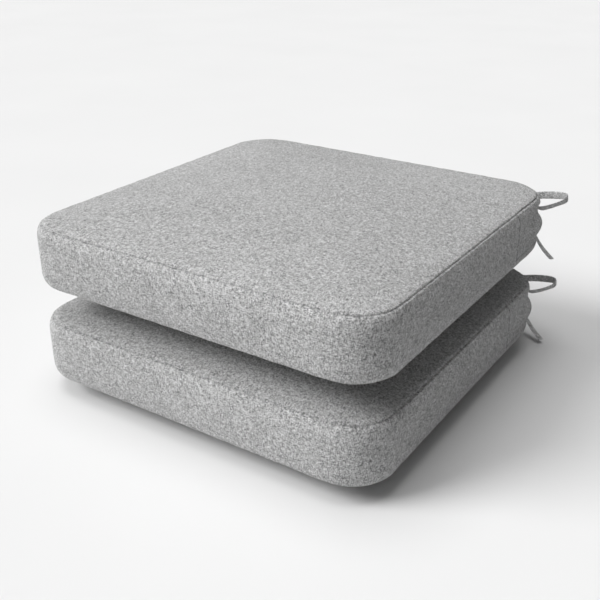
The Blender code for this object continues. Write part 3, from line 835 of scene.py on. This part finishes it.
for pad, form in forms.items():
    cut_seams(form.data)
    places = rest_flat(coordinates(form.data), pad)
    depth = seam_depth(places) + puckers(places)
    put_back(form.data, places + coordinates(form.data, "normal") * depth[:, None])
    # painted shade: the points in the seam grooves are marked so that the cloth is darkened there
    mark(form.data, "seam_painted_shade", seam_shade(places))
    print(pad, "seams cut:", len(form.data.polygons), "faces")

# %% [markdown]
# ## The weave map
# Cloth is cut from a flat roll, so on a panel the yarns run straight, and round a band they follow the band.
# The map holds metres: x and y on the two faces, and the distance round the pad and the height on the walls.
# The distance is counted from the middle of the front for the boxing, and from the middle of the back for the
# zip bands, so that the two meet at the upright seams, as the real ones do.

# %% Map the weave
def distance_round(x, y, end):
    """Distance round the outline from the middle of the front (-1) or the back (1), signed by side."""
    radius = CORNER_RADIUS[end]
    across, along = np.abs(x), end * y
    corner_x, corner_y = HALF_WIDTH - radius, HALF_DEPTH - radius
    turn = np.arctan2(np.maximum(across - corner_x, 0), np.maximum(along - corner_y, 1e-9))
    beyond = np.maximum(corner_y - along, 0)
    run = np.minimum(across, corner_x) + radius * turn + beyond
    return np.sign(x) * run


def map_weave(mesh):
    """Give every corner of every face its place on its panel."""
    count = len(mesh.loops)
    vertex = np.zeros(count, np.int32)
    mesh.loops.foreach_get("vertex_index", vertex)
    totals = np.zeros(len(mesh.polygons), np.int32)
    mesh.polygons.foreach_get("loop_total", totals)
    centres = np.zeros(len(mesh.polygons) * 3, np.float32)
    mesh.polygons.foreach_get("center", centres)
    centre = np.repeat(centres.reshape(-1, 3), totals, axis=0)
    place = coordinates(mesh)[vertex]
    on_wall = np.abs(centre[:, 2]) < SEAM_Z
    behind = centre[:, 1] > SIDE_SEAM_Y
    front = distance_round(place[:, 0], place[:, 1], -1)
    back = distance_round(place[:, 0], place[:, 1], 1)
    u = np.where(on_wall, np.where(behind, back + 3.0, front), place[:, 0] + 5.0)
    v = np.where(on_wall, place[:, 2], place[:, 1] * np.sign(centre[:, 2]))
    weave = mesh.uv_layers.new(name="weave")
    weave.data.foreach_set("uv", np.stack([u, v], axis=1).astype(np.float32).ravel())


for pad, form in forms.items():
    map_weave(form.data)
    print(pad, "weave mapped on", len(form.data.loops), "corners")

# %% [markdown]
# ## The two zip bands
# The back of a cover is two bands with the zip between them. The upper one is folded under along its lip and
# swells out over the zip, and the ties draw it in above that. They are cut out of the finished wall by planes,
# so they follow it exactly, and then get the cloth's thickness.

# %% Cut a band from the wall
BAND_THICKNESS = 0.0013
ZIP_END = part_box("lower_zip_tape_upper")[1].x - 0.008
ZIP_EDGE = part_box("lower_zip_coil_lower")[0].z - BASE["lower"] - CROWN - 0.0009
LIP_BULGE = 0.0040
TIE_PULL = {"lower": 0.0024, "upper": 0.0032}
STITCH_LINE = {"upper": LIP_HEIGHT + 0.0080, "lower": ZIP_EDGE - 0.0022}
STITCH_SINK = 0.0004                        # how far the thread draws the cloth in
UNDERCUT = {"lower": 0.0010, "upper": 0.0022}
LOWER_SWELL = {"lower": 0.0002, "upper": -0.0002}


def above_edge(z):
    """Height above the bottom edge plane of a point whose height is from the pad's middle."""
    return z + EDGE_HEIGHT / 2


def back_share(places):
    """0 at the upright seams, 1 round the back."""
    return smooth_step(places[:, 1], SIDE_SEAM_Y + 0.002, SIDE_SEAM_Y + 0.052)


def corner_share(places):
    """1 on the sides and the rear corners, 0 on the straight run of the back."""
    return smooth_step(np.abs(places[:, 0]), ZIP_END + 0.004, ZIP_END + 0.034)


def upper_band_swell(places, pad):
    """How far the upper band stands out from the wall: pulled in at the ties, bulging over its lip."""
    height = above_edge(places[:, 2])
    tie = knot_middle(pad, "right").z - BASE[pad] - CROWN
    pull = TIE_PULL[pad] * (0.35 + 0.65 * corner_share(places))
    pinch = smooth_step(height, tie - 0.013, tie - 0.002) * smooth_step(-height, -tie - 0.014, -tie - 0.006)
    bulge = bell(height - 0.0375, 0.0095)
    hem = smooth_step(height, LIP_HEIGHT - 0.001, LIP_HEIGHT + 0.004)
    return back_share(places) * (LIP_BULGE * bulge * (0.35 + 0.65 * hem) - pull * pinch)


def lower_band_swell(places, pad):
    """The lower band falls back under the lip at the corners."""
    height = above_edge(places[:, 2])
    notch = bell(height - LIP_HEIGHT + 0.002, 0.006) * UNDERCUT[pad]
    fullness = bell(height - 0.012, 0.008) * LOWER_SWELL[pad]
    return (fullness - notch) * back_share(places) * corner_share(places)


def keep_between(builder, axis, low, high):
    """Throw away what lies outside two planes across an axis."""
    for limit, away in ((low, -1), (high, 1)):
        everything = builder.verts[:] + builder.edges[:] + builder.faces[:]
        place, direction = Vector((0, 0, 0)), Vector((0, 0, 0))
        place[axis], direction[axis] = limit, away
        bmesh.ops.bisect_plane(
            builder, geom=everything, dist=1e-6, plane_co=place, plane_no=direction, clear_outer=True,
        )


def outward(places):
    """Unit direction away from the pad's outline, level with the floor."""
    end = CORNER_RADIUS[1]
    core = np.stack([np.clip(places[:, 0], end - HALF_WIDTH, HALF_WIDTH - end),
                     np.minimum(places[:, 1], HALF_DEPTH - end), places[:, 2]], axis=1)
    away = places - core
    return away / (np.linalg.norm(away, axis=1, keepdims=True) + 1e-9)


def cut_band(form, pad, row, low, high, swell, extra_cuts=()):
    """A band of the wall behind the upright seams, between two heights above the bottom edge plane."""
    builder = bmesh.new()
    builder.from_mesh(form.data)
    keep_between(builder, 1, SIDE_SEAM_Y + 0.0003, 1.0)
    keep_between(builder, 2, low - EDGE_HEIGHT / 2, high - EDGE_HEIGHT / 2)
    for height in (*extra_cuts, *(STITCH_LINE[row] + step for step in (-0.0014, 0.0, 0.0014))):
        cut(builder, builder.faces[:], (0, 0, height - EDGE_HEIGHT / 2), (0, 0, 1))
    mesh = bpy.data.meshes.new(f"{pad}_{row}_band")
    builder.to_mesh(mesh)
    builder.free()
    places = coordinates(mesh)
    line = bell(above_edge(places[:, 2]) - STITCH_LINE[row], 0.0010)
    put_back(mesh, places + outward(places) * (swell(places, pad) - STITCH_SINK * line)[:, None])
    # painted shade: the seams and the stitch line, where the thread draws the cloth in, are marked for darkening
    mark(mesh, "seam_painted_shade", np.maximum(seam_shade(places), 1.3 * line))
    return mesh


def open_zip_window(mesh):
    """Cut the lower band down to the zip's coils over the length of the zip."""
    builder = bmesh.new()
    builder.from_mesh(mesh)
    back = [f for f in builder.faces if f.calc_center_median().y > HALF_DEPTH - 0.010]
    cut(builder, back, (0, 0, ZIP_EDGE - EDGE_HEIGHT / 2), (0, 0, 1))
    for side in (-1, 1):
        back = [f for f in builder.faces if f.calc_center_median().y > HALF_DEPTH - 0.010]
        cut(builder, back, (side * ZIP_END, 0, 0), (1, 0, 0))
    window = [
        f for f in builder.faces
        if abs(f.calc_center_median().x) < ZIP_END and above_edge(f.calc_center_median().z) > ZIP_EDGE
    ]
    bmesh.ops.delete(builder, geom=window, context="FACES")
    builder.to_mesh(mesh)
    builder.free()


def finish_band(mesh, pad, node_name):
    """Give a band its thickness, lift it to its pad and let it ride there."""
    builder = bmesh.new()
    builder.from_mesh(mesh)
    grown = bmesh.ops.extrude_face_region(builder, geom=builder.faces[:], use_keep_orig=True)["geom"]
    inner = [g for g in grown if isinstance(g, bmesh.types.BMVert)]
    directions = outward(np.array([v.co for v in inner]))
    for vert, direction in zip(inner, directions):
        vert.co -= Vector(direction) * BAND_THICKNESS
    bmesh.ops.translate(builder, vec=(0, 0, (BASE[pad] + TOP[pad]) / 2), verts=builder.verts)
    band = add_piece(f"cloth_{node_name}", builder, COVER_CLOTH, f"{pad}_pad")
    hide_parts(node_name)
    return band


LIP_CUTS = (LIP_HEIGHT + 0.0008, LIP_HEIGHT + 0.0018)
bands = {}
for pad, form in forms.items():
    top = above_edge(SEAM_Z - 0.0002)
    upper = cut_band(form, pad, "upper", LIP_HEIGHT, top, upper_band_swell, LIP_CUTS)
    lower = cut_band(form, pad, "lower", above_edge(-SEAM_Z + 0.0002), LIP_HEIGHT - 0.0003,
                     lower_band_swell)
    open_zip_window(lower)
    bands[pad] = [finish_band(upper, pad, f"{pad}_zip_band_upper"), finish_band(lower, pad, f"{pad}_zip_band_lower")]
    print(pad, "bands:", [len(band.data.polygons) for band in bands[pad]], "faces")

# %% [markdown]
# ## Set the covers in place
# Behind the bands the cover is only lining, so its wall is set back there. Then each cover is lifted to its
# pad's height, takes its cloth, and stands for the panels, the boxing and what is inside them.

# %% Covers
LINING_DEPTH = 0.0050


def set_back(form):
    """Sink the wall behind the two bands, out of their way."""
    places = coordinates(form.data)
    inside = (np.abs(places[:, 2]) < SEAM_Z - 0.0001) & (places[:, 1] > SIDE_SEAM_Y + 0.0001)
    put_back(form.data, places - outward(places) * (inside * LINING_DEPTH)[:, None])


def place_cover(pad, form):
    """Lift a cover to its pad and hand it to the frame."""
    set_back(form)
    places = coordinates(form.data)
    places[:, 2] += (BASE[pad] + TOP[pad]) / 2
    put_back(form.data, places)
    form.data.materials.clear()
    form.data.materials.append(COVER_CLOTH)
    form.data.shade_smooth()
    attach(form, f"{pad}_pad")
    hidden = ("foam_core", "foam_liner", "top_panel", "bottom_panel", "boxing_band", "care_label")
    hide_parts(*(f"{pad}_{name}" for name in hidden))


for pad, form in forms.items():
    place_cover(pad, form)
    low, high = (round(float(end), 4) for end in (coordinates(form.data)[:, 2].min(), coordinates(form.data)[:, 2].max()))
    print(pad, "cover from", low, "to", high)

# %% [markdown]
# ## Topstitching
# A lighter thread holds the fold of the upper band and the edge of the lower one to the zip's tapes. A stitch
# is a small bead of thread. It is copied along a line at one height, and every copy is laid on the cloth by
# casting a ray at it from outside.

# %% Thread
THREAD_LENGTH = 0.0024
THREAD_STEP = 0.0034


def thread_material():
    """Matt polyester thread with its twist."""
    material, tree, shader = new_material("thread", Roughness=0.7)
    place = node(tree, "ShaderNodeTexCoord", {}, {}, 3)
    x, y, z = parts_of(place)
    twist = ((x + y + z) * 9000.0).math("SINE")
    shade = noise(tree, place, 300.0) + twist * 0.15
    connect(tree, shader, Base_Color=grey_between(tree, shade, 0.70, 0.96))
    connect(tree, shader, Normal=bump_from(tree, twist, 0.4, 0.0001))
    return material


THREAD = thread_material()


def outline_stations(step, last_y):
    """Points round the back of the outline and their outward directions, from one side to the other."""
    radius = CORNER_RADIUS[1]
    corner_x, corner_y = HALF_WIDTH - radius, HALF_DEPTH - radius
    bend = radius * math.pi / 2
    side = corner_y - last_y
    total = 2 * (corner_x + bend + side)
    stations = []
    for number in range(int(total / step) + 1):
        run = total / 2 - number * step
        sign, far = (1 if run >= 0 else -1), abs(run)
        angle = min(max((far - corner_x) / bend, 0.0), 1.0) * math.pi / 2
        direction = Vector((sign * math.sin(angle), math.cos(angle), 0.0))
        x = sign * min(far, corner_x) + radius * direction.x
        y = min(corner_y, corner_y - (far - corner_x - bend)) + radius * direction.y
        stations.append((Vector((x, y, 0.0)), direction))
    return stations


def on_cloth(tree, station, height):
    """Place and normal where a level ray from outside meets the cloth."""
    point, direction = station
    start = point + direction * 0.030 + Vector((0, 0, height))
    place, normal, _, _ = tree.ray_cast(start, -direction, 0.05)
    return place, normal


def one_stitch():
    """A bead of thread, lying along x with its outside towards z."""
    builder = bmesh.new()
    bmesh.ops.create_uvsphere(builder, u_segments=6, v_segments=4, radius=0.5)
    bmesh.ops.rotate(builder, matrix=Matrix.Rotation(math.pi / 2, 3, "Y"), verts=builder.verts)
    bmesh.ops.scale(builder, vec=(THREAD_LENGTH, 0.0009, 0.0008), verts=builder.verts)
    mesh = bpy.data.meshes.new("stitch")
    builder.to_mesh(mesh)
    builder.free()
    return mesh


STITCH = one_stitch()


def stitch_row(pad, name, cloth, height, stations):
    """Stitches laid on a piece of cloth at one height above the bottom edge plane."""
    tree = BVHTree.FromPolygons([v.co for v in cloth.data.vertices], [p.vertices for p in cloth.data.polygons])
    builder = bmesh.new()
    for point, direction in stations:
        place, normal = on_cloth(tree, (point, direction), BASE[pad] + CROWN + height)
        if place is None:
            continue
        before = len(builder.verts)
        builder.from_mesh(STITCH)
        builder.verts.ensure_lookup_table()
        along = Vector((direction.y, -direction.x, 0.0))
        up = (normal - normal.dot(along) * along).normalized()
        turn = Matrix((along, up.cross(along), up)).transposed().to_4x4()
        verts = builder.verts[before:]
        bmesh.ops.transform(builder, matrix=Matrix.Translation(place) @ turn, verts=verts)
    return add_piece(f"{pad}_{name}", builder, THREAD, f"{pad}_pad")


LONG_ROW = outline_stations(THREAD_STEP, SIDE_SEAM_Y + 0.003)
ZIP_ROW = [s for s in LONG_ROW if abs(s[0].x) < ZIP_END - 0.001]
for pad in PADS:
    upper_row = stitch_row(pad, "lip_stitching", bands[pad][0], STITCH_LINE["upper"], LONG_ROW)
    lower_row = stitch_row(pad, "zip_edge_stitching", bands[pad][1], STITCH_LINE["lower"], ZIP_ROW)
    print(pad, "stitching:", len(upper_row.data.polygons), "and", len(lower_row.data.polygons), "faces")

# %% [markdown]
# ## The zip
# A coil zip has a row of nylon loops on each tape, and a loop of one row sits between two of the other. A few
# dozen faces make one loop, and an array repeats it over the zip's length. The tapes are fine twill, and the
# end stops, the slider and the pull are plated metal.

# %% Zip finishes
def twill_material():
    """Narrow woven tape with a diagonal rib."""
    material, tree, shader = new_material("tape_twill", Roughness=0.85)
    place = node(tree, "ShaderNodeTexCoord", {}, {}, 3)
    x, _, z = parts_of(place)
    rib = ((x + z) * (2 * math.pi / 0.0009)).math("SINE")
    yarn = (x * (2 * math.pi / 0.0005)).math("SINE")
    share = noise(tree, place, 120.0, 3.0) + rib * 0.12 + yarn * 0.06
    connect(tree, shader, Base_Color=grey_between(tree, share, 0.16, 0.36))
    connect(tree, shader, Normal=bump_from(tree, rib + yarn * 0.5, 0.5, 0.0002))
    return material


def nylon_material():
    """Smooth drawn nylon, a little uneven in tone."""
    material, tree, shader = new_material("coil_nylon", Roughness=0.38)
    place = node(tree, "ShaderNodeTexCoord", {}, {}, 3)
    tone = noise(tree, place, 500.0, 2.0)
    connect(tree, shader, Base_Color=grey_between(tree, tone, 0.16, 0.34))
    connect(tree, shader, Roughness=0.30 + tone * 0.25)
    return material


def metal_material():
    """Nickel plating, brushed and slightly worn."""
    material, tree, shader = new_material("nickel", Metallic=1.0)
    place = node(tree, "ShaderNodeTexCoord", {}, {}, 3)
    wear = noise(tree, place, 700.0, 4.0, 0.7)
    connect(tree, shader, Base_Color=grey_between(tree, wear, 0.46, 0.72))
    connect(tree, shader, Roughness=0.20 + wear * 0.28)
    connect(tree, shader, Normal=bump_from(tree, wear, 0.15, 0.0001))
    return material


TWILL, NYLON, NICKEL = twill_material(), nylon_material(), metal_material()


def finish_node(name, material):
    """Give a node of the frame its finish."""
    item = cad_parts[name]
    for index in range(len(item.data.materials)):
        item.data.materials[index] = material
    if not item.data.materials:
        item.data.materials.append(material)


for pad in PADS:
    for row in ("upper", "lower"):
        finish_node(f"{pad}_zip_tape_{row}", TWILL)
print("zip finishes:", TWILL.name, NYLON.name, NICKEL.name)

# %% Coils
COIL_PITCH = 0.0016
WIRE = 0.00032


def coil_row(pad, row):
    """A row of loops along one side of the zip line."""
    low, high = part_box(f"{pad}_zip_coil_{row}")
    way = 1 if row == "upper" else -1
    zip_side, tape_side = (low.z, high.z) if way > 0 else (high.z, low.z)
    face_y, back_y = high.y, low.y
    reach = abs(tape_side - zip_side)
    middle = Vector((0.0, (face_y + back_y) / 2, (zip_side + tape_side) / 2))
    frames = []
    shape = ((-0.25, -0.5), (-0.25, 0.0), (-0.22, 0.36), (-0.08, 0.5), (0.08, 0.5), (0.22, 0.36), (0.25, 0.0), (0.25, -0.5))
    points = []
    for index, (x, z) in enumerate(shape):
        depth = (face_y - back_y) / 2 - WIRE
        y = depth * (1.0 if index < 4 else 0.3)
        points.append(Vector((x * COIL_PITCH * 1.35, y, -way * z * (reach - 2 * WIRE))))
    builder = swept_strip(strip_frames(points, lambda _share: Vector((0, 1, 0))), 2 * WIRE, 2 * WIRE)
    start = Vector((low.x + COIL_PITCH / 2, middle.y, middle.z))
    bmesh.ops.translate(builder, vec=start, verts=builder.verts)
    coil = add_piece(f"{pad}_coil_teeth_{row}", builder, NYLON, f"{pad}_pad")
    rows = coil.modifiers.new("along_zip", "ARRAY")
    rows.use_relative_offset = False
    rows.use_constant_offset = True
    rows.constant_offset_displace = (COIL_PITCH, 0, 0)
    rows.count = int((high.x - low.x - COIL_PITCH) / COIL_PITCH) + 1
    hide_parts(f"{pad}_zip_coil_{row}")
    return rows.count


for pad in PADS:
    print(pad, "coil loops:", [coil_row(pad, row) for row in ("upper", "lower")])

# %% [markdown]
# ## Metal parts
# The stops and the slider keep the frame's own shape. The pull is a flat tab with rounded ends and a slot, so it is
# made again: a flat grid narrowed towards its ends and over one half, with a slot cut through, thickened and bevelled.

# %% Stops, sliders and pulls
def pull_tab(pad):
    """The slider's pull: a rounded flat tab with a slot near its free end."""
    low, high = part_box(f"{pad}_zip_pull")
    length, thick, tall = high - low
    builder = bmesh.new()
    bmesh.ops.create_grid(builder, x_segments=9, y_segments=4, size=0.5)
    bmesh.ops.scale(builder, vec=(length, tall, 1.0), verts=builder.verts)
    slot = [f for f in builder.faces if abs(f.calc_center_median().y) < tall * 0.25
            and -length * 0.40 < f.calc_center_median().x < -length * 0.10]
    bmesh.ops.delete(builder, geom=slot, context="FACES")
    for vert in builder.verts:
        end = abs(vert.co.x) / (length / 2)
        narrow = 1 - 0.30 * smooth_step(np.float64(end), 0.75, 1.0)
        waist = 1 - 0.18 * smooth_step(np.float64(vert.co.x / length), 0.05, 0.35)
        vert.co.y *= float(narrow * waist)
    solid = bmesh.ops.solidify(builder, geom=builder.faces[:], thickness=thick * 0.8)
    bmesh.ops.translate(builder, vec=(0, 0, thick * 0.4), verts=builder.verts)
    bmesh.ops.rotate(builder, matrix=Matrix.Rotation(math.pi / 2, 3, "X"), verts=builder.verts)
    bmesh.ops.translate(builder, vec=(low + high) / 2, verts=builder.verts)
    pull = add_piece(f"{pad}_pull_tab", builder, NICKEL, f"{pad}_zip_pull", smooth=False)
    rounding = pull.modifiers.new("soft_edges", "BEVEL")
    rounding.width = 0.00018
    rounding.segments = 2
    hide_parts(f"{pad}_zip_pull")
    return pull, len(solid["geom"])


for pad in PADS:
    for name in ("zip_stop_closed", "zip_stop_open", "zip_slider"):
        finish_node(f"{pad}_{name}", NICKEL)
    print(pad, "pull:", pull_tab(pad)[0].name)
